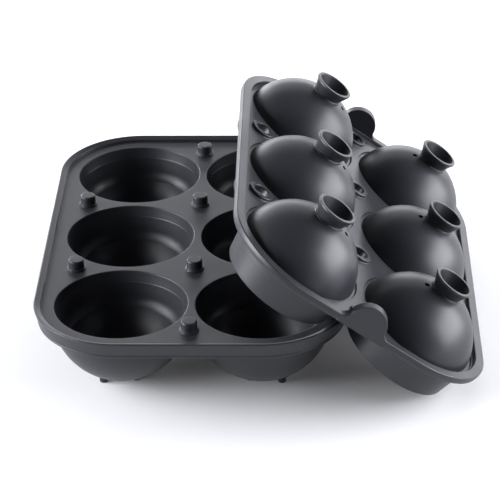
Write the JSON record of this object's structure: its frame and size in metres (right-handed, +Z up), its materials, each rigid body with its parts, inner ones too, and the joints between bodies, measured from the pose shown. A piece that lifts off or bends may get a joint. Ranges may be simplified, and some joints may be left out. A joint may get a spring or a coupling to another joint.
{
  "type": "ice ball mould",
  "caption": "Two-part silicone mould for ice balls: a tray of round cups with locating pegs, and a domed lid with filling funnels and lifting tabs leaning over the tray's edge.",
  "frame": {"origin": "on the floor, in the plane of the feet, under the middle of the whole object as it stands", "axes": "+Z up; +X across the tray towards the side the lid leans over; +Y along the tray, towards its rear"},
  "size_m": [0.1886, 0.1966, 0.088],
  "materials": {
    "silicone": "matte"
  },
  "bodies": {
    "tray": {"tray_deck": "silicone", "locating_pegs": "silicone", "cup_front_left": "silicone", "cup_front_right": "silicone", "cup_middle_left": "silicone", "cup_middle_right": "silicone", "cup_rear_left": "silicone", "cup_rear_right": "silicone"},
    "lid": {"lid_plate": "silicone", "peg_sockets": "silicone", "front_tab": "silicone", "rear_tab": "silicone", "skirt_front_left": "silicone", "skirt_front_right": "silicone", "skirt_middle_left": "silicone", "skirt_middle_right": "silicone", "skirt_rear_left": "silicone", "skirt_rear_right": "silicone", "dome_front_left": "silicone", "dome_front_right": "silicone", "dome_middle_left": "silicone", "dome_middle_right": "silicone", "dome_rear_left": "silicone", "dome_rear_right": "silicone", "funnel_front_left": "silicone", "funnel_front_right": "silicone", "funnel_middle_left": "silicone", "funnel_middle_right": "silicone", "funnel_rear_left": "silicone", "funnel_rear_right": "silicone"}
  },
  "joints": [
    {"name": "lid_lift", "type": "slide", "parent": "tray", "child": "lid", "axis": [0.5787, 0, 0.8155], "range_m": [0, 0.12]}
  ]
}
